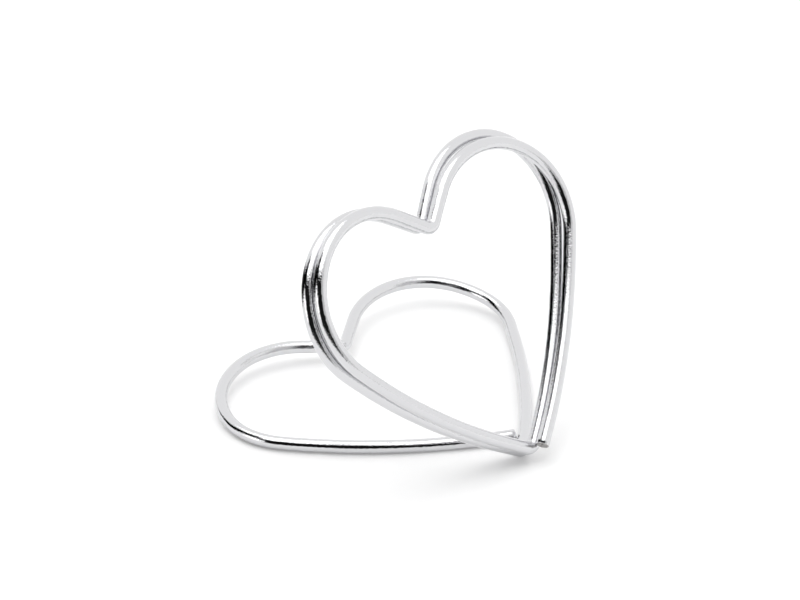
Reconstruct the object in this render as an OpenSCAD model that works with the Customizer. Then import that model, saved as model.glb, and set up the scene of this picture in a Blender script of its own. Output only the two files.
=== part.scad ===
// Place card holder: one bright steel wire wound as a coil of three hearts.
// The first heart is folded down as the foot, with its lobes a little off the table. The
// other two stand side by side, and a card slips into the slit between them.
// The foot's leg runs on through a fold at the tip into the back heart, and the back
// heart's leg runs on through a tight turn at the tip into the front heart.

/* [Wire] */
// Thickness of the round wire
wire_d = 1.6; // [1.2:0.1:2.0]
// Clear space between two turns that lie side by side, where a card goes in
card_slit = 0.12; // [0.08:0.02:0.4]
// Inside radius of the sharp bends at the tip
tip_inner_r = 0.4; // [0.2:0.1:0.8]
// Inside radius of the crease at the top of each heart
crease_inner_r = 0.25; // [0.15:0.05:0.6]
// Straight wire on both sides of each bend at the tip
tip_lead = 3; // [2:0.25:4]

/* [Foot heart] */
// Angle from the axis at which the foot's legs leave the tip, in degrees
foot_leg_angle = 49; // [47:0.1:51]
// Radius of the gentle bow of the leg that runs on to the fold
foot_leg_r = 113; // [104:1:122]
// How far that leg turns, in degrees
foot_leg_turn = 13.2; // [11:0.1:15]
// Radius of the wide part of the foot
foot_side_r = 8.6; // [8:0.1:10]
// How far the wide part turns, in degrees
foot_side_turn = 44.2; // [39:0.2:49]
// Radius of the foot's two lobes
foot_lobe_r = 10.6; // [10:0.1:11.2]
// Angle between the axis and the wire where it dips to the crease, in degrees
foot_dip_angle = 53; // [49:0.5:58]
// Radius of the other leg, which bows in more and ends loose beside the first one
loose_leg_r = 61; // [56:0.5:67]
// Clear space between the loose leg's cut end and the leg beside it
loose_end_gap = 0.1; // [0.05:0.05:0.8]
// Distance from the tip at which the foot starts to rise off the table
foot_rise_start = 16.5; // [14:0.5:19]
// Radius of the rise, which lifts both lobes clear of the table
foot_rise_r = 87; // [78:1:110]
// How far the rise is turned towards the right lobe, in degrees
foot_rise_skew = 13; // [0:0.5:16]
// How far the wire runs past the foot's own tip before it folds up
fold_run = 0.5; // [0.3:0.05:1.2]

/* [Standing hearts] */
// Angle from the axis at which the standing legs leave the tip, in degrees
leg_angle = 51.7; // [49.5:0.1:53]
// Radius of the gentle bow of the standing legs
leg_r = 74.5; // [68:0.5:84]
// How far the standing legs turn, in degrees
leg_turn = 19.1; // [17:0.1:21]
// Radius of the wide part
side_r = 9.9; // [9:0.1:11]
// How far the wide part turns, in degrees
side_turn = 35.8; // [32:0.2:40]
// Radius of the lobes
lobe_r = 10; // [9.4:0.1:10.6]
// Angle between the axis and the wire where it dips to the crease, in degrees
dip_angle = 48.5; // [44:0.5:53]
// Size of the front heart as a share of the back one
front_share = 0.982; // [0.95:0.001:1]
// How far the cut end of the front heart stops short of the tip
front_end_gap = 0.4; // [0.1:0.05:1.5]

/* [Stance] */
// How far the standing hearts lean back over the foot, in degrees
lean_back = 28; // [10:0.5:36]
// How far they lean to the side, in degrees
lean_side = 5.5; // [0:0.5:7]
// How far they swing round from the foot's axis, in degrees
swing = 4.8; // [0:0.1:7]
// How far the front heart is turned in its own plane, in degrees
front_swing = 0.8; // [0:0.1:1.5]
// Hairline where the front heart flexes away from the turn at the tip
flex_gap = 0.06; // [0.04:0.01:0.1]

/* [Hidden] */
wire_sides = 16;
bow_sides = 72;
// Turn of a swept bow between two rings, in degrees
ring_turn = 7.5;

wire_r = wire_d / 2;
pitch = wire_d + card_slit;
tip_bend_r = tip_inner_r + wire_r;
crease_r = crease_inner_r + wire_r;

// A heading is the angle from the heart's axis, +Y, towards its right side, +X.
function heading(h) = [sin(h), cos(h)];
function unit(v) = v / norm(v);
function bow_centre(p, h, r) = p + r * [-cos(h), sin(h)];
function bow_end(p, h, r, t) = bow_centre(p, h, r) + r * [cos(h - t), -sin(h - t)];

// One half of a heart from the tip: [leg angle, leg radius, leg turn, side radius,
// side turn, lobe radius, dip angle]. k makes the whole outline smaller or larger.
function outline(a, r3, t3, r2, t2, r1, dip, k = 1) = [a, k * r3, t3, k * r2, t2, k * r1, dip];
foot = outline(foot_leg_angle, foot_leg_r, foot_leg_turn, foot_side_r, foot_side_turn,
    foot_lobe_r, foot_dip_angle);
back = outline(leg_angle, leg_r, leg_turn, side_r, side_turn, lobe_r, dip_angle);
front = outline(leg_angle, leg_r, leg_turn, side_r, side_turn, lobe_r, dip_angle, front_share);

// Where each bow of a half starts, and its heading there
function lobe_turn(s) = s[0] - s[2] - s[4] + 180 - s[6];
function leg_at(s) = tip_lead * heading(s[0]);
function side_at(s) = bow_end(leg_at(s), s[0], s[1], s[2]);
function lobe_at(s) = bow_end(side_at(s), s[0] - s[2], s[3], s[4]);
function dip_at(s) = bow_end(lobe_at(s), s[0] - s[2] - s[4], s[5], lobe_turn(s));
// The dip runs straight until the crease's bow can end on the axis.
function dip_length(s) = (dip_at(s)[0] - crease_r * cos(s[6])) / sin(s[6]);
function crease_y(s) = dip_at(s)[1] - dip_length(s) * cos(s[6]) - crease_r * (1 - sin(s[6]));

// The right half leans forward about its crease, so that its leg ends one pitch ahead
// of the left half's leg: this is what winds the hearts as a coil.
function wind_angle(s) = asin(pitch / crease_y(s));

function about_x(v, a) = [v[0], v[1] * cos(a) - v[2] * sin(a), v[1] * sin(a) + v[2] * cos(a)];
function about_y(v, a) = [v[0] * cos(a) + v[2] * sin(a), v[1], v[2] * cos(a) - v[0] * sin(a)];
function about_z(v, a) = [v[0] * cos(a) - v[1] * sin(a), v[0] * sin(a) + v[1] * cos(a), v[2]];
function stance(v) = about_z(about_y(about_x(v, 90 - lean_back), -lean_side), swing);
function wound(v, s) = about_x(v - [0, crease_y(s), 0], -wind_angle(s)) + [0, crease_y(s), 0];
function in_front(v) = stance(about_z(v, -front_swing));

// Past a line across it the foot follows a wide cylinder upwards and keeps its lengths.
rise_way = concat(heading(foot_rise_skew), 0);
function rise_run(p) = max(0, p * rise_way - foot_rise_start);
function rise_angle(p) = rise_run(p) / foot_rise_r * 180 / PI;
function risen(p) = let(a = rise_angle(p))
    p + (foot_rise_r * sin(a) - rise_run(p)) * rise_way + [0, 0, foot_rise_r * (1 - cos(a))];
function tipped(v, a) = about_z(about_x(about_z(v, foot_rise_skew), a), -foot_rise_skew);
function risen_rings(rings) = [for (v = rings) let(a = rise_angle(v[0]))
    [risen(v[0]), tipped(v[1], a), tipped(v[2], a)]];

// The corners of the wire at the tip, and the ways that it goes there
fold_point = [-fold_run * sin(foot_leg_angle), -fold_run * cos(foot_leg_angle), 0];
foot_in = [-sin(foot_leg_angle), -cos(foot_leg_angle), 0];
back_out = stance([-sin(leg_angle), cos(leg_angle), 0]);
turn_point = fold_point + stance(wound([0, 0, 0], back));
back_in = -stance(about_x([sin(leg_angle), cos(leg_angle), 0], -wind_angle(back)));
front_out = in_front([-sin(leg_angle), cos(leg_angle), 0]);
front_way = in_front(about_x([sin(leg_angle), cos(leg_angle), 0], -wind_angle(front)));
end_point = turn_point + in_front(wound([0, 0, 0], front)) + front_end_gap * front_way;

// How far a bend of the tip's radius reaches back along the wire from its corner
function setback(u, v) = tip_bend_r * tan(acos(u * v) / 2);

// The part's origin is at the middle of its outline, on the table.
widest = back[3] * sqrt(1 - pow(stance([0, 0, 1])[0], 2));
side_centre = bow_centre(side_at(back), leg_angle - leg_turn, side_r);
left_x = fold_point[0] + stance([-side_centre[0], side_centre[1], 0])[0] - widest - wire_r;
foot_side = bow_centre(side_at(foot), foot[0] - foot[2], foot[3]);
right_x = risen([foot_side[0] + foot[3], foot_side[1], 0])[0] + wire_r;
lobe_centre = bow_centre(lobe_at(foot), foot[0] - foot[2] - foot[4], foot[5]);
rear_y = risen([-lobe_centre[0], lobe_centre[1] + foot[5], 0])[1] + wire_r;
front_y = end_point[1] - wire_r * sqrt(1 - pow(front_way[1], 2));
middle = [(left_x + right_x) / 2, (front_y + rear_y) / 2, -wire_r];

// Stations along one half, each [x, y, heading], from the tip's side to the crease
function bow_stations(p, h, r, t, first = 1) = let(n = ceil(t / ring_turn) + 1)
    [for (i = [first:n]) concat(bow_end(p, h, r, t * i / n), h - t * i / n)];
function crease_stations(s) = let(h = s[6] - 180, t = s[6] - 90, n = ceil(-t / ring_turn))
    [for (i = [0:n]) let(way = h - t * i / n)
        [-crease_r * cos(way), crease_y(s) + crease_r + crease_r * sin(way), way]];
function lobe_stations(s) = concat(
    bow_stations(side_at(s), s[0] - s[2], s[3], s[4]),
    bow_stations(lobe_at(s), s[0] - s[2] - s[4], s[5], lobe_turn(s)),
    crease_stations(s)
);
function leg_stations(s, from) = concat(
    [concat(from * heading(s[0]), s[0])],
    bow_stations(leg_at(s), s[0], s[1], s[2], 0)
);
// The loose leg bows from its cut end up to the wide part. Its turn is the one at which
// the rim of the cut end stands its gap away from the other leg.
function loose_centre(s) = bow_centre(side_at(s), s[0] - s[2], loose_leg_r);
function loose_turn(s) = acos((wire_r + loose_end_gap - loose_centre(s) * [cos(s[0]), sin(s[0])])
    / (loose_leg_r + wire_r)) - 2 * s[0] + s[2];
function loose_stations(s) = let(c = loose_centre(s), t = loose_turn(s), n = ceil(t / ring_turn) + 1)
    [for (i = [0:n]) let(way = s[0] - s[2] + t * (1 - i / n))
        [c[0] + loose_leg_r * cos(way), c[1] - loose_leg_r * sin(way), way]];

// Rings round the wire: each is its middle, the way out of the heart and the plane's normal.
function left_rings(half) = [for (v = half) [[-v[0], v[1], 0], [-cos(v[2]), -sin(v[2]), 0], [0, 0, 1]]];
function right_rings(half) = [for (i = [len(half) - 2:-1:0]) let(v = half[i])
    [[v[0], v[1], 0], [cos(v[2]), -sin(v[2]), 0], [0, 0, 1]]];
function wound_rings(half, s) = [for (v = right_rings(half))
    [wound(v[0], s), about_x(v[1], -wind_angle(s)), about_x(v[2], -wind_angle(s))]];

// Unbroken round wire through a list of rings
module wire(rings) {
    n = wire_sides;
    last = len(rings) - 1;
    points = [for (v = rings, j = [0:n - 1]) v[0] + wire_r * (cos(360 * j / n) * v[1] + sin(360 * j / n) * v[2])];
    faces = concat(
        [[for (j = [0:n - 1]) j]],
        [for (i = [0:last - 1], j = [0:n - 1])
            let(k = (j + 1) % n) [i * n + j, (i + 1) * n + j, (i + 1) * n + k]],
        [for (i = [0:last - 1], j = [0:n - 1])
            let(k = (j + 1) % n) [i * n + j, (i + 1) * n + k, i * n + k]],
        [[for (j = [n - 1:-1:0]) last * n + j]]
    );
    polyhedron(points, faces);
}

// A bend of the tip's radius at a corner, from the way u into the way v
module corner(at, u, v) {
    across = unit(v - (u * v) * u);
    centre = at - setback(u, v) * u + tip_bend_r * across;
    upright = -cross(across, u);
    multmatrix([
        [-across[0], u[0], upright[0], centre[0]],
        [-across[1], u[1], upright[1], centre[1]],
        [-across[2], u[2], upright[2], centre[2]],
        [0, 0, 0, 1]
    ])
        rotate_extrude(angle = acos(u * v), $fn = bow_sides)
            translate([tip_bend_r, 0])
                circle(r = wire_r, $fn = wire_sides);
}

module stand_at(p) {
    translate(p)
        rotate([90 - lean_back, -lean_side, swing])
            children();
}

// Down on the table, with the lobes raised off it: loose cut end, left lobe, crease,
// right lobe and the leg to the fold
module foot_heart() {
    loose_half = concat(loose_stations(foot), lobe_stations(foot));
    fold_half = concat(leg_stations(foot, setback(foot_in, back_out) - fold_run), lobe_stations(foot));
    color("#C6C8CC")
        translate(-middle)
            wire(risen_rings(concat(left_rings(loose_half), right_rings(fold_half))));
}

// The fold that lifts the wire from the foot into the back heart
module heel_fold() {
    color("#B9BBC0")
        translate(-middle)
            corner(fold_point, foot_in, back_out);
}

module back_heart() {
    first_half = concat(leg_stations(back, setback(foot_in, back_out)), lobe_stations(back));
    last_half = concat(leg_stations(back, setback(back_in, front_out)), lobe_stations(back));
    color("#CDCFD3")
        translate(-middle)
            stand_at(fold_point)
                wire(concat(left_rings(first_half), wound_rings(last_half, back)));
}

// The tight turn that joins the back heart's leg to the front heart's leg
module tip_turn() {
    color("#B9BBC0")
        translate(-middle)
            corner(turn_point, back_in, front_out);
}

// The springy heart in front, which ends in a cut at the tip
module front_heart() {
    first_half = concat(leg_stations(front, setback(back_in, front_out) + flex_gap), lobe_stations(front));
    last_half = concat(leg_stations(front, front_end_gap), lobe_stations(front));
    color("#D6D8DB")
        translate(-middle)
            stand_at(turn_point)
                rotate([0, 0, -front_swing])
                    wire(concat(left_rings(first_half), wound_rings(last_half, front)));
}

foot_heart();
heel_fold();
back_heart();
tip_turn();
front_heart();
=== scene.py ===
import math

import bmesh
import bpy
from mathutils import Matrix, Vector, noise


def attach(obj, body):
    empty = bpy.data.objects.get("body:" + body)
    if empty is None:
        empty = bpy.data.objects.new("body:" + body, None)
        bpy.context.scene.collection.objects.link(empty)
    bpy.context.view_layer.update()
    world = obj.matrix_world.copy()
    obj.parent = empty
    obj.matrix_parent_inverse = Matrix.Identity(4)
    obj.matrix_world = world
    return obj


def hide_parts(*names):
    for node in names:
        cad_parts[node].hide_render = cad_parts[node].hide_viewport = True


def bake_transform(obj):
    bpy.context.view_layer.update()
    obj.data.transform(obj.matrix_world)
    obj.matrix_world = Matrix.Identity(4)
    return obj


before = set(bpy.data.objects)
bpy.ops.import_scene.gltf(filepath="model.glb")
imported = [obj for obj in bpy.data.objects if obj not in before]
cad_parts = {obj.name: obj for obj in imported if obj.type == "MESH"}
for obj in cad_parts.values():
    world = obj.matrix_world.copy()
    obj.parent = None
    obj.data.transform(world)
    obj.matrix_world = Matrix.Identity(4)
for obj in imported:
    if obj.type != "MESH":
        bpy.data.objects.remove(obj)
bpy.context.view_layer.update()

# ---------------------------------------------------------------------------
# Foot heart: the first turn of a coil of round spring wire, bent over pins and then
# plated bright. It lies on the table with its two lobes sprung a little off it. One
# leg runs on to the fold at the heel, and the other ends loose in a sheared end.
MM = 0.001
WIRE_D = 1.6 * MM
WIRE_R = WIRE_D / 2
# Radii are to the middle of the wire, turns and angles are in degrees, and a heading
# is the way that the wire runs, from up the heart (0) to its side (90).
TIP_LEAD = 3 * MM
CREASE_R = 0.25 * MM + WIRE_R
TIP_BEND_R = 0.4 * MM + WIRE_R
FOOT = dict(
    leg_angle=49,
    leg_r=113 * MM,
    leg_turn=13.2,
    side_r=8.6 * MM,
    side_turn=44.2,
    lobe_r=10.6 * MM,
    dip_angle=53,
)
LOOSE_LEG_R = 61 * MM
LOOSE_END_GAP = 0.1 * MM
FOLD_RUN = 0.5 * MM
RISE_START = 16.5 * MM
RISE_R = 87 * MM
RISE_SKEW = 13
TABLE_MIDDLE = Vector((-1.27691, 16.6397, -0.8)) * MM
# How far hand bending leaves the foot off its true line, across and along its axis, in
# millimetres, at even steps along the wire from one leg over the crease to the other.
FOOT_OFF_LINE = (
    (-0.02, -0.03), (-0.05, -0.07), (-0.05, -0.02), (-0.07, -0.02), (0.12, 0.02), (0.14, 0.16),
    (0.09, -0.13), (0.17, -0.09), (-0.08, 0.15), (-0.15, 0.06), (-0.03, -0.02),
)
# How closely the wire is drawn: the sides of a ring, and what lies between two rings.
RING_SIDES = 40
RING_TURN = 2.0
BOW_STEP = 0.6 * MM
STRAIGHT_STEP = 0.5 * MM
CREASE_STEPS = 12
LOOSE_LEG_STEPS = 50


def heading(h):
    return Vector((math.sin(math.radians(h)), math.cos(math.radians(h))))


def bow_centre(p, h, r):
    return p + r * Vector((-math.cos(math.radians(h)), math.sin(math.radians(h))))


def bow_end(p, h, r, t):
    way = math.radians(h - t)
    return bow_centre(p, h, r) + r * Vector((math.cos(way), -math.sin(way)))


def side_heading(heart):
    return heart["leg_angle"] - heart["leg_turn"]


def lobe_heading(heart):
    return side_heading(heart) - heart["side_turn"]


def lobe_turn(heart):
    return lobe_heading(heart) + 180 - heart["dip_angle"]


def side_at(heart):
    lead_end = TIP_LEAD * heading(heart["leg_angle"])
    return bow_end(lead_end, heart["leg_angle"], heart["leg_r"], heart["leg_turn"])


def lobe_at(heart):
    return bow_end(side_at(heart), side_heading(heart), heart["side_r"], heart["side_turn"])


def dip_at(heart):
    return bow_end(lobe_at(heart), lobe_heading(heart), heart["lobe_r"], lobe_turn(heart))


def dip_length(heart):
    dip = math.radians(heart["dip_angle"])
    return (dip_at(heart).x - CREASE_R * math.cos(dip)) / math.sin(dip)


def crease_y(heart):
    dip = math.radians(heart["dip_angle"])
    dip_drop = dip_length(heart) * math.cos(dip)
    return dip_at(heart).y - dip_drop - CREASE_R * (1 - math.sin(dip))


def bow_stations(p, h, r, t):
    """Stations (x, y, heading) along a bow of the wire, after its first point."""
    n = max(2, math.ceil(t / RING_TURN), math.ceil(math.radians(t) * r / BOW_STEP))
    ends = [(bow_end(p, h, r, t * i / n), h - t * i / n) for i in range(1, n + 1)]
    return [(end.x, end.y, h_i) for end, h_i in ends]


def straight_stations(a, b, h, first=1):
    n = max(2, math.ceil((b - a).length / STRAIGHT_STEP))
    return [(*(a + (b - a) * i / n), h) for i in range(first, n + 1)]


def lead_stations(heart, start):
    """The straight wire that a leg has beside the tip."""
    up_leg = heading(heart["leg_angle"])
    return straight_stations(start * up_leg, TIP_LEAD * up_leg, heart["leg_angle"], first=0)


def leg_stations(heart, start):
    leg_angle = heart["leg_angle"]
    bow = bow_stations(TIP_LEAD * heading(leg_angle), leg_angle, heart["leg_r"], heart["leg_turn"])
    return lead_stations(heart, start) + bow


def loose_stations(heart):
    """The loose leg bows from its sheared end, beside the other leg, up to the wide part."""
    h = side_heading(heart)
    centre = bow_centre(side_at(heart), h, LOOSE_LEG_R)
    leg = math.radians(heart["leg_angle"])
    to_leg = centre.x * math.cos(leg) + centre.y * math.sin(leg)
    reach = (WIRE_R + LOOSE_END_GAP - to_leg) / (LOOSE_LEG_R + WIRE_R)
    t = math.degrees(math.acos(reach)) - 2 * heart["leg_angle"] + heart["leg_turn"]
    out = []
    for i in range(LOOSE_LEG_STEPS + 1):
        h_i = h + t * (1 - i / LOOSE_LEG_STEPS)
        way = math.radians(h_i)
        x, y = centre.x + LOOSE_LEG_R * math.cos(way), centre.y - LOOSE_LEG_R * math.sin(way)
        out.append((x, y, h_i))
    return out


def lobe_stations(heart):
    """The wide part, the lobe, the straight dip and half of the crease."""
    out = bow_stations(side_at(heart), side_heading(heart), heart["side_r"], heart["side_turn"])
    out += bow_stations(lobe_at(heart), lobe_heading(heart), heart["lobe_r"], lobe_turn(heart))
    dip_heading = heart["dip_angle"] - 180
    dip_end = dip_at(heart) + dip_length(heart) * heading(dip_heading)
    out += straight_stations(dip_at(heart), dip_end, dip_heading)
    for i in range(1, CREASE_STEPS + 1):
        h = dip_heading + (90 - heart["dip_angle"]) * i / CREASE_STEPS
        way = math.radians(h)
        y = crease_y(heart) + CREASE_R * (1 + math.sin(way))
        out.append((-CREASE_R * math.cos(way), y, h))
    return out


def left_rings(half):
    """Rings (middle, way out of the heart, normal of its plane) of a left half."""
    out = []
    for x, y, h in half:
        way = Vector((-math.cos(math.radians(h)), -math.sin(math.radians(h)), 0))
        out.append((Vector((-x, y, 0)), way, Vector((0, 0, 1))))
    return out


def right_rings(half, tilt=0.0, about=0.0):
    """The same for a right half, from the crease down, tilted about the crease."""
    turn = Matrix.Rotation(tilt, 3, "X")
    pivot = Vector((0, about, 0))
    out = []
    for x, y, h in reversed(half[:-1]):
        middle = turn @ (Vector((x, y, 0)) - pivot) + pivot
        way = Vector((math.cos(math.radians(h)), -math.sin(math.radians(h)), 0))
        out.append((middle, turn @ way, turn @ Vector((0, 0, 1))))
    return out


def step_share(t):
    """Cubic B-spline weight of a step that lies t steps away."""
    t = abs(t)
    if t < 1:
        return (4 - 6 * t * t + 3 * t**3) / 6
    return (2 - t) ** 3 / 6 if t < 2 else 0.0


def bent_by_hand(left, right, off_line):
    """Joins the rings of both halves and moves them off the true line, but not at their ends."""
    rings = left + right
    run = [0.0]
    for a, b in zip(rings, rings[1:]):
        run.append(run[-1] + (b[0] - a[0]).length)
    crease_at, end = run[len(left) - 1], run[-1]
    crease_step = len(off_line) // 2
    # The last step is two steps short of the wire's end, where its weight comes to nothing.
    reach = crease_step + 2
    out = []
    for (p, way_out, up), at in zip(rings, run):
        u = (at - crease_at) / (crease_at if at < crease_at else end - crease_at) * reach
        shift = Vector((0, 0, 0))
        for k, (across, along) in enumerate(off_line):
            shift += step_share(u - k + crease_step) * Vector((across, along, 0)) * MM
        out.append((p + shift - shift.dot(up) * up, way_out, up))
    return out


def risen_rings(rings):
    """Past a line across it the foot follows a wide cylinder upwards, off the table."""
    rise_way = heading(RISE_SKEW).to_3d()
    axis = Vector((rise_way.y, -rise_way.x, 0))
    out = []
    for p, way_out, up in rings:
        run = max(0.0, p.dot(rise_way) - RISE_START)
        a = run / RISE_R
        turn = Matrix.Rotation(a, 3, axis)
        forward = (RISE_R * math.sin(a) - run) * rise_way
        upward = Vector((0, 0, RISE_R * (1 - math.cos(a))))
        out.append((p + forward + upward, turn @ way_out, turn @ up))
    return out


def placed(rings, stance, at):
    """Rings moved from a heart's own plane into the frame of the part."""
    return [(stance @ p + at - TABLE_MIDDLE, stance @ out, stance @ up) for p, out, up in rings]


# The rollers that straighten the wire leave a shallow wave in it.
WAVE_LENGTH = 7 * MM
WAVE_DEPTH = 0.05 * MM
WAVE_UP_SHARE = 0.4


def sway(p):
    """How far the wire waves off its line: each way has its own place in the noise."""
    q = p / WAVE_LENGTH
    x, y = noise.noise(q), noise.noise(q + Vector((31, 0, 0)))
    z = WAVE_UP_SHARE * noise.noise(q + Vector((0, 47, 0)))
    return Vector((x, y, z)) * WAVE_DEPTH


def wire_mesh(name, rings, start_cut=None, end_cut=None):
    """Round wire through the rings, with its length in millimetres as U and its girth as V."""
    mesh = bpy.data.meshes.new(name)
    bm = bmesh.new()
    uv = bm.loops.layers.uv.new("along_wire")
    rows, length = [], [0.0]
    middles = [p + sway(p) for p, _, _ in rings]
    for a, b in zip(middles, middles[1:]):
        length.append(length[-1] + (b - a).length / MM)
    for (_, out, up), middle in zip(rings, middles):
        row = []
        for j in range(RING_SIDES):
            a = 2 * math.pi * j / RING_SIDES
            way = math.cos(a) * out + math.sin(a) * up
            row.append(bm.verts.new(middle + way * WIRE_R))
        rows.append(row)
    for i in range(len(rows) - 1):
        for j in range(RING_SIDES):
            k = (j + 1) % RING_SIDES
            face = bm.faces.new((rows[i][j], rows[i + 1][j], rows[i + 1][k], rows[i][k]))
            face.smooth = True
            us = (length[i], length[i + 1], length[i + 1], length[i])
            vs = (j, j, j + 1, j + 1)
            for loop, u, v in zip(face.loops, us, vs):
                loop[uv].uv = (u, v / RING_SIDES)
    for row, cut, sign in ((rows[0], start_cut, -1), (rows[-1], end_cut, 1)):
        if cut:
            cut(bm, row, sign)
    bm.normal_update()
    bm.to_mesh(mesh)
    bm.free()
    piece = bpy.data.objects.new(name, mesh)
    bpy.context.scene.collection.objects.link(piece)
    return piece


# The rings of a sheared end, from its rim to its middle: the share of the wire's radius,
# and how far the ring stands out in millimetres. The first is the rim that the shear
# rolls over, and the others are torn to an uneven depth.
ROLLED_RIM = 0.93
SHEARED_END = ((ROLLED_RIM, 0.06), (0.8, 0.1), (0.55, 0.12), (0.3, 0.1))
TEAR_DEPTH = 0.05
TEAR_STEP_ROUND, TEAR_STEP_INWARD, TEAR_STEP_TO_OTHER_END = 0.9, 5, 3.0


def sheared_end(bm, row, sign):
    """A cut end: the rim is rolled over a little, and the face is torn and slightly domed."""
    middle = sum((v.co for v in row), Vector()) / len(row)
    a, b = row[0].co - middle, row[len(row) // 4].co - middle
    axis = a.cross(b).normalized() * sign
    last, n = row, len(row)
    for share, depth in SHEARED_END:
        torn = share < ROLLED_RIM
        ring = []
        for j, v in enumerate(row):
            tear_at = (j * TEAR_STEP_ROUND, share * TEAR_STEP_INWARD, sign * TEAR_STEP_TO_OTHER_END)
            tear = TEAR_DEPTH * noise.noise(Vector(tear_at)) * torn
            ring.append(bm.verts.new(middle + (v.co - middle) * share + axis * (depth + tear) * MM))
        for j in range(n):
            k = (j + 1) % n
            quad = (last[j], ring[j], ring[k], last[k])
            face = bm.faces.new(quad if sign > 0 else quad[::-1])
            face.smooth = not torn
            face.material_index = int(torn)
        last = ring
    face = bm.faces.new(last if sign > 0 else last[::-1])
    face.material_index = 1


def srgb(text):
    """Linear colour of an sRGB hex value."""
    parts = [int(text[i : i + 2], 16) / 255 for i in (1, 3, 5)]
    linear = [c / 12.92 if c <= 0.04045 else ((c + 0.055) / 1.055) ** 2.4 for c in parts]
    return (*linear, 1.0)


def add(tree, kind, settings=(), links=()):
    """Adds a node, sets its properties and sockets, and links its inputs."""
    node = tree.nodes.new(kind)
    for key, value in dict(settings).items():
        if isinstance(key, str) and hasattr(node, key):
            setattr(node, key, value)
        else:
            node.inputs[key].default_value = value
    for key, output in dict(links).items():
        tree.links.new(output, node.inputs[key])
    return node


def new_material(name):
    material = bpy.data.materials.new(name)
    material.use_nodes = True
    material.node_tree.nodes.clear()
    return material, material.node_tree


# Bright nickel plate over drawn spring wire: a clear mirror with the faint lines of the
# drawing die along it, and fine pebbles that fray what it mirrors. Lines and pebbles are
# drawn about ten times as coarse as the real ones, so that they show at all.
PLATE_COLOUR = "#D5D5D7"
PLATE_ROUGHNESS = (0.015, 0.035)
HAZE_WIDTH = 1.5 * MM
DIE_LINE_WIDTH = 0.12 * MM
DIE_LINE_DEPTH = 0.004 * MM
DIE_LINE_CHANGES_PER_MM = 0.35
PEBBLE_WIDTH = 0.2 * MM
PEBBLE_DEPTH = 0.022 * MM


def bright_plated_wire():
    material, tree = new_material("bright_nickel_plate_on_drawn_wire")
    along = add(tree, "ShaderNodeUVMap", {"uv_map": "along_wire"})
    lines_round = WIRE_D * math.pi / DIE_LINE_WIDTH
    lines_at = add(
        tree,
        "ShaderNodeMapping",
        {"Scale": (DIE_LINE_CHANGES_PER_MM, lines_round, 1.0)},
        {"Vector": along.outputs[0]},
    )
    lines = add(
        tree,
        "ShaderNodeTexNoise",
        {"Scale": 1.0, "Detail": 3.0},
        {"Vector": lines_at.outputs[0]},
    )
    place = add(tree, "ShaderNodeTexCoord")
    haze = add(
        tree,
        "ShaderNodeTexNoise",
        {"Scale": 1 / HAZE_WIDTH, "Detail": 2.0},
        {"Vector": place.outputs["Object"]},
    )
    smoothest, roughest = PLATE_ROUGHNESS
    rough = add(
        tree,
        "ShaderNodeMapRange",
        {"From Min": 0.3, "From Max": 0.7, "To Min": smoothest, "To Max": roughest},
        {"Value": haze.outputs["Fac"]},
    )
    drawn = add(
        tree,
        "ShaderNodeBump",
        {"Strength": 0.12, "Distance": DIE_LINE_DEPTH},
        {"Height": lines.outputs["Fac"]},
    )
    pebbles = add(
        tree,
        "ShaderNodeTexNoise",
        {"Scale": 1 / PEBBLE_WIDTH, "Detail": 2.0},
        {"Vector": place.outputs["Object"]},
    )
    bump = add(
        tree,
        "ShaderNodeBump",
        {"Strength": 1.0, "Distance": PEBBLE_DEPTH},
        {"Height": pebbles.outputs["Fac"], "Normal": drawn.outputs[0]},
    )
    shader = add(
        tree,
        "ShaderNodeBsdfPrincipled",
        {"Base Color": srgb(PLATE_COLOUR), "Metallic": 1.0},
        {"Roughness": rough.outputs[0], "Normal": bump.outputs[0]},
    )
    add(tree, "ShaderNodeOutputMaterial", {}, {"Surface": shader.outputs[0]})
    return material


# Spring steel torn by the shear, with no plate on it: duller and darker than the wire,
# with a coarse grain. A light and a dark grain together are 0.16 mm wide.
GRAIN_WIDTH = 0.16 * MM
GRAIN_DEPTH = 0.05 * MM
GRAIN_TONES = (("#5E5B5A", 0.35), ("#C9C7C6", 0.65))
TORN_ROUGHNESS = 0.38


def sheared_steel():
    material, tree = new_material("sheared_spring_steel")
    place = add(tree, "ShaderNodeTexCoord")
    grain = add(
        tree,
        "ShaderNodeTexNoise",
        {"Scale": 1 / GRAIN_WIDTH, "Detail": 4.0},
        {"Vector": place.outputs["Object"]},
    )
    bump = add(
        tree,
        "ShaderNodeBump",
        {"Strength": 0.9, "Distance": GRAIN_DEPTH},
        {"Height": grain.outputs["Fac"]},
    )
    tone = add(tree, "ShaderNodeValToRGB", {}, {"Fac": grain.outputs["Fac"]})
    for element, (colour, position) in zip(tone.color_ramp.elements, GRAIN_TONES):
        element.color = srgb(colour)
        element.position = position
    shader = add(
        tree,
        "ShaderNodeBsdfPrincipled",
        {"Metallic": 1.0, "Roughness": TORN_ROUGHNESS},
        {"Base Color": tone.outputs[0], "Normal": bump.outputs[0]},
    )
    add(tree, "ShaderNodeOutputMaterial", {}, {"Surface": shader.outputs[0]})
    return material


PLATE = bright_plated_wire()
TORN = sheared_steel()


def dress(piece, node):
    """Gives a stretch of the wire its two finishes and puts it in place of its CAD node."""
    piece.data.materials.append(PLATE)
    piece.data.materials.append(TORN)
    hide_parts(node)


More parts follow.
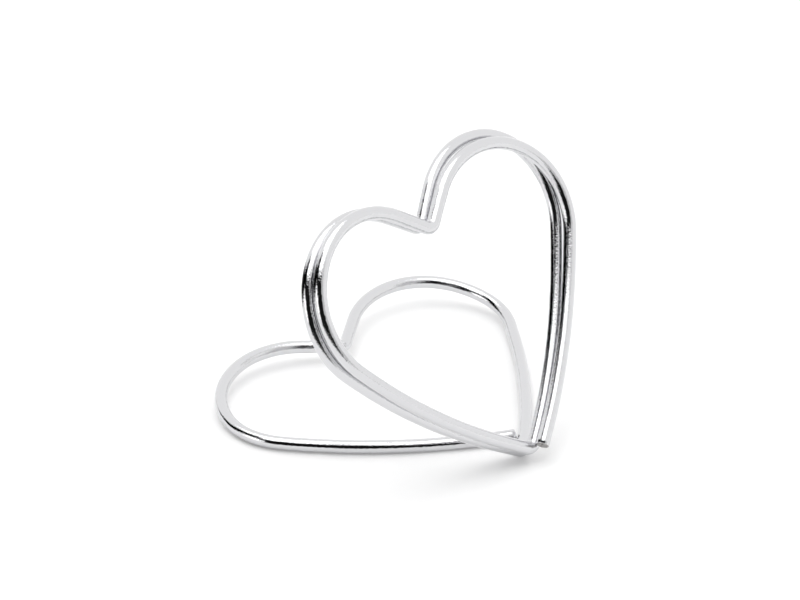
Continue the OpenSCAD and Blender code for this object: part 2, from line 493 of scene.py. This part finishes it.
# The standing hearts' sizes and stance are needed here, because the bend of the fold
# says where the foot's leg stops.
BACK = dict(
    leg_angle=51.7,
    leg_r=74.5 * MM,
    leg_turn=19.1,
    side_r=9.9 * MM,
    side_turn=35.8,
    lobe_r=10 * MM,
    dip_angle=48.5,
)
FRONT_SHARE = 0.982
FRONT = {size: v * FRONT_SHARE if size.endswith("_r") else v for size, v in BACK.items()}
CARD_SLIT = 0.12 * MM
PITCH = WIRE_D + CARD_SLIT
STAND_TURN = 4.8
STAND_ROLL = -5.5
STAND_LEAN_BACK = 28
FRONT_TWIST = -0.8
STANCE = (
    Matrix.Rotation(math.radians(STAND_TURN), 3, "Z")
    @ Matrix.Rotation(math.radians(STAND_ROLL), 3, "Y")
    @ Matrix.Rotation(math.radians(90 - STAND_LEAN_BACK), 3, "X")
)
FRONT_STANCE = STANCE @ Matrix.Rotation(math.radians(FRONT_TWIST), 3, "Z")


def wind_angle(heart):
    """How far a standing heart's right half tilts forward, to end one pitch ahead."""
    return math.asin(PITCH / crease_y(heart))


def leg_way(heart, side):
    """The way up a heart's leg from the tip: side is -1 for the left leg, 1 for the right."""
    a = math.radians(heart["leg_angle"])
    return Vector((side * math.sin(a), math.cos(a), 0))


def setback(u, v):
    """How far before its corner a tight bend from the way u into the way v begins."""
    return TIP_BEND_R * math.tan(u.angle(v) / 2)


FOOT_IN = -leg_way(FOOT, 1)
FOLD_POINT = FOLD_RUN * FOOT_IN
BACK_OUT = STANCE @ leg_way(BACK, -1)
BACK_WIND = Matrix.Rotation(-wind_angle(BACK), 3, "X")
BACK_CREASE = Vector((0, crease_y(BACK), 0))
BACK_IN = -(STANCE @ BACK_WIND @ leg_way(BACK, 1))
TURN_POINT = FOLD_POINT + STANCE @ (BACK_WIND @ -BACK_CREASE + BACK_CREASE)
FRONT_OUT = FRONT_STANCE @ leg_way(FRONT, -1)
FOLD_SETBACK = setback(FOOT_IN, BACK_OUT)
TURN_SETBACK = setback(BACK_IN, FRONT_OUT)

foot_rings = bent_by_hand(
    left_rings(loose_stations(FOOT) + lobe_stations(FOOT)),
    right_rings(leg_stations(FOOT, FOLD_SETBACK - FOLD_RUN) + lobe_stations(FOOT)),
    FOOT_OFF_LINE,
)
foot_rings = placed(risen_rings(foot_rings), Matrix.Identity(3), Vector())
foot = wire_mesh("foot_heart_wire", foot_rings, start_cut=sheared_end)
dress(foot, "foot_heart")
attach(foot, "holder")

# ---------------------------------------------------------------------------
# Heel fold: the same plated wire, where it leaves the foot and bends up into the back
# heart. It is bent tight over a small pin, so its outside is stretched smooth.
CORNER_STEPS = 24


def corner_rings(at, u, v, first_out, first_up):
    """Rings round a bend at a corner from the way u into the way v."""
    angle = u.angle(v)
    axis = u.cross(v).normalized()
    across = (v - u.dot(v) * u).normalized()
    centre = at - setback(u, v) * u + TIP_BEND_R * across
    out = []
    for i in range(CORNER_STEPS + 1):
        turn = Matrix.Rotation(angle * i / CORNER_STEPS, 3, axis)
        middle = turn @ (-across * TIP_BEND_R) + centre - TABLE_MIDDLE
        out.append((middle, turn @ first_out, turn @ first_up))
    return out


fold_rings = corner_rings(FOLD_POINT, FOOT_IN, BACK_OUT, *foot_rings[-1][1:])
fold = wire_mesh("heel_fold_wire", fold_rings)
dress(fold, "heel_fold")
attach(fold, "holder")

# ---------------------------------------------------------------------------
# Back heart: the second turn of the plated wire, bent over the same pins. It stands up
# from the fold and leans back over the foot, and its right leg comes down one wire and
# one slit ahead of its left leg.
BACK_OFF_LINE = (
    (0.00, -0.12), (0.06, -0.20), (0.16, -0.21), (0.09, -0.06), (-0.05, -0.02), (-0.11, 0.01),
    (0.01, 0.02), (0.20, 0.27), (0.08, 0.46), (-0.07, 0.36), (-0.06, 0.16),
)


def standing_rings(heart, left_start, right_start, off_line):
    """Rings of a wound heart in its own plane, with each leg's start from the tip."""
    return bent_by_hand(
        left_rings(leg_stations(heart, left_start) + lobe_stations(heart)),
        right_rings(
            leg_stations(heart, right_start) + lobe_stations(heart),
            tilt=-wind_angle(heart),
            about=crease_y(heart),
        ),
        off_line,
    )


back_rings = standing_rings(BACK, FOLD_SETBACK, TURN_SETBACK, BACK_OFF_LINE)
back_rings = placed(back_rings, STANCE, FOLD_POINT)
back = wire_mesh("back_heart_wire", back_rings)
dress(back, "back_heart")
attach(back, "holder")

# ---------------------------------------------------------------------------
# Tip turn: the same plated wire, bent tight at the bottom point, where it leads from
# the back heart into the front one.
turn_rings = corner_rings(TURN_POINT, BACK_IN, FRONT_OUT, *back_rings[-1][1:])
turn = wire_mesh("tip_turn_wire", turn_rings)
dress(turn, "tip_turn")
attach(turn, "holder")

# ---------------------------------------------------------------------------
# Front heart: the last turn of the plated wire, a little smaller and close in front of
# the back one, ending in a sheared end at the tip. Its root flexes when a card goes in,
# so the straight lead beside the tip is a piece of its own, attached to neither body.
FRONT_END_GAP = 0.4 * MM
FRONT_OFF_LINE = (
    (0.00, -0.04), (0.01, -0.04), (0.01, 0.12), (-0.19, 0.29), (-0.37, 0.31), (-0.45, 0.19),
    (-0.26, -0.31), (0.12, -0.43), (0.26, -0.15), (0.16, 0.02), (0.05, 0.06),
)
front_rings = standing_rings(FRONT, TURN_SETBACK, FRONT_END_GAP, FRONT_OFF_LINE)
front_rings = placed(front_rings, FRONT_STANCE, TURN_POINT)
root_end = len(lead_stations(FRONT, TURN_SETBACK)) - 1
root = wire_mesh("front_heart_root", front_rings[: root_end + 1])
dress(root, "front_heart")
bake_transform(root)
front = wire_mesh("front_heart_wire", front_rings[root_end:], end_cut=sheared_end)
dress(front, "front_heart")
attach(front, "card_spring")

# ---------------------------------------------------------------------------
# The table: a matt white sheet, far wider than the view, that takes the shadows. The
# camera and the metal see it a little whiter than the light alone makes it.
SHEET_REACH = 3.0
SHEET_COLOUR = "#F4F4F4"
SHEET_SHINE = 0.15
WHITE = srgb("#FFFFFF")


def whitened(tree, paper):
    """The paper, with its own shine added for the rays of the camera and of mirrors."""
    path = add(tree, "ShaderNodeLightPath")
    seen = path.outputs["Is Camera Ray"]
    for ray in ("Is Glossy Ray", "Is Transmission Ray"):
        either = {0: seen, 1: path.outputs[ray]}
        seen = add(tree, "ShaderNodeMath", {"operation": "MAXIMUM"}, either).outputs[0]
    shine = add(tree, "ShaderNodeMath", {"operation": "MULTIPLY", 1: SHEET_SHINE}, {0: seen})
    glow = add(tree, "ShaderNodeEmission", {"Color": WHITE}, {"Strength": shine.outputs[0]})
    return add(tree, "ShaderNodeAddShader", {}, {0: paper.outputs[0], 1: glow.outputs[0]})


def stage_piece(name, points, faces, material):
    """A mesh of the table or the tent, which isn't part of the object."""
    mesh = bpy.data.meshes.new(name)
    mesh.from_pydata(points, [], faces)
    mesh.materials.append(material)
    piece = bpy.data.objects.new(name, mesh)
    bpy.context.scene.collection.objects.link(piece)
    return piece


def white_sheet():
    material, tree = new_material("table_matt_white")
    paper = add(tree, "ShaderNodeBsdfDiffuse", {"Color": srgb(SHEET_COLOUR)})
    shader = whitened(tree, paper)
    add(tree, "ShaderNodeOutputMaterial", {}, {"Surface": shader.outputs[0]})
    s = SHEET_REACH
    corners = [(-s, -s, 0), (s, -s, 0), (s, s, 0), (-s, s, 0)]
    stage_piece("table", corners, [(0, 1, 2, 3)], material)


white_sheet()

# ---------------------------------------------------------------------------
# The light tent: evenly glowing white cloth all round, with bright and dark panels, a
# softbox overhead and two dark cards on the table. They make the white and black lines
# that the metal mirrors, and the camera doesn't see them.
TENT_R = 1.6
TENT_GLOW = 1.1
# Directions are in degrees from +Y towards +X, and heights in degrees above the table.
PANEL_STEP = 6
CARD_RAISED = 0.5 * MM
SOFTBOX_OUT = 1.15
SOFTBOX_SIDES = 64


def cloth_panel(name, points, faces, strength):
    """A glowing or dark stretch of the tent, which the camera doesn't see."""
    material, tree = new_material(name + "_cloth")
    glow = add(tree, "ShaderNodeEmission", {"Color": WHITE, "Strength": strength})
    add(tree, "ShaderNodeOutputMaterial", {}, {"Surface": glow.outputs[0]})
    panel = stage_piece(name, points, faces, material)
    panel.visible_camera = False
    return panel


def tent_point(az, el, r=TENT_R):
    az, el = math.radians(az), math.radians(el)
    return Vector((math.cos(el) * math.sin(az), math.cos(el) * math.cos(az), math.sin(el))) * r


def tent_band(name, az_from, az_to, el_from, el_to, strength):
    """Part of the tent's wall between those directions and heights."""
    columns = max(2, math.ceil((az_to - az_from) / PANEL_STEP))
    rows = max(2, math.ceil((el_to - el_from) / PANEL_STEP))
    points, faces = [], []
    for i in range(rows + 1):
        el = el_from + (el_to - el_from) * i / rows
        for j in range(columns + 1):
            points.append(tent_point(az_from + (az_to - az_from) * j / columns, el))
    for i in range(rows):
        for j in range(columns):
            a = i * (columns + 1) + j
            faces.append((a, a + 1, a + columns + 2, a + columns + 1))
    cloth_panel(name, points, faces, strength)


def tent_strip(name, rows, strength):
    """Part of the tent's wall with slanted sides, from rows of a height and two directions."""
    points = [tent_point(az, el) for el, *ends in rows for az in ends]
    faces = [(2 * i, 2 * i + 1, 2 * i + 3, 2 * i + 2) for i in range(len(rows) - 1)]
    cloth_panel(name, points, faces, strength)


def table_card(name, az_from, az_to, near, strength):
    """A card on the table between two directions, from near (in mm) to the tent's wall."""
    corners = [tent_point(az, 0, r) for r in (near * MM, TENT_R) for az in (az_from, az_to)]
    for corner in corners:
        corner.z += CARD_RAISED
    card = cloth_panel(name, corners, [(0, 1, 3, 2)], strength)
    # Only the metal sees it, so that the table around it stays evenly white.
    card.visible_diffuse = False
    card.visible_shadow = False


def softbox(name, az, el, half_angle, strength):
    """A round softbox outside the tent, facing the holder."""
    centre = tent_point(az, el, TENT_R * SOFTBOX_OUT)
    to_holder = -centre.normalized()
    side = to_holder.cross(Vector((0, 0, 1))).normalized()
    rise = side.cross(to_holder)
    r = centre.length * math.tan(math.radians(half_angle))
    rim = []
    for k in range(SOFTBOX_SIDES):
        a = 2 * math.pi * k / SOFTBOX_SIDES
        rim.append(centre + r * (math.cos(a) * side + math.sin(a) * rise))
    cloth_panel(name, rim, [tuple(range(SOFTBOX_SIDES))], strength)


# The room shows dark through the tent's opening behind the camera, with brighter cloth
# above it and a reflector beside it.
tent_band("dark_room_behind_camera", -165, -90, 0.5, 55, 0.01)
tent_band("grey_room_beside_camera", -196, -165, 0.5, 48, 0.7)
tent_band("bright_cloth_over_camera", -196, -100, 55.5, 62, 1.5)
tent_band("side_reflector", -88, -64, 0.5, 26, 1.9)
tent_band("dark_rim_over_reflector", -90, -60, 27, 51, 0.02)
# A slanted gap between two cloths, which the wire mirrors as a narrow dark line.
DARK_GAP = (
    (63, -70, -44), (54, -64, -38), (45, -62, -36), (30, -62, -34),
    (20, -58, -26), (10, -52, -16), (0.5, -45, -7),
)
tent_strip("dark_gap", DARK_GAP, 0.0)
table_card("dark_table_before_sheet", -165, -90, 190, 0.03)
table_card("dark_card_beside", -39, -1, 85, 0.0)
softbox("overhead_softbox", -75, 77, 31, 2.4)

world = bpy.data.worlds.new("tent")
world.use_nodes = True
world.node_tree.nodes.clear()
cloth = add(world.node_tree, "ShaderNodeBackground", {"Color": WHITE, "Strength": TENT_GLOW})
add(world.node_tree, "ShaderNodeOutputWorld", {}, {"Surface": cloth.outputs[0]})
bpy.context.scene.world = world

# ---------------------------------------------------------------------------
# The camera stands to the left in front of the holder and looks down on it, through
# the long lens that small things on a table are taken with.
CAMERA_AT = Vector((-233.705, -239.517, 202.287)) * MM
CAMERA_LOOKS = Vector((-2.662, 0.282, 15.8)) * MM
CAMERA_ROLL = -0.15
LENS_LENGTH = 144.21
SENSOR_WIDTH = 36
NEAREST_SEEN = 10 * MM

lens = bpy.data.cameras.new("camera")
lens.sensor_width = SENSOR_WIDTH
lens.lens = LENS_LENGTH
lens.clip_start = NEAREST_SEEN
camera = bpy.data.objects.new("camera", lens)
bpy.context.scene.collection.objects.link(camera)
camera.location = CAMERA_AT
aim = (CAMERA_LOOKS - CAMERA_AT).to_track_quat("-Z", "Y").to_matrix()
roll = Matrix.Rotation(math.radians(CAMERA_ROLL), 3, "Z")
camera.rotation_euler = (aim @ roll).to_euler()
bpy.context.scene.camera = camera
bpy.context.scene.view_settings.view_transform = "Standard"
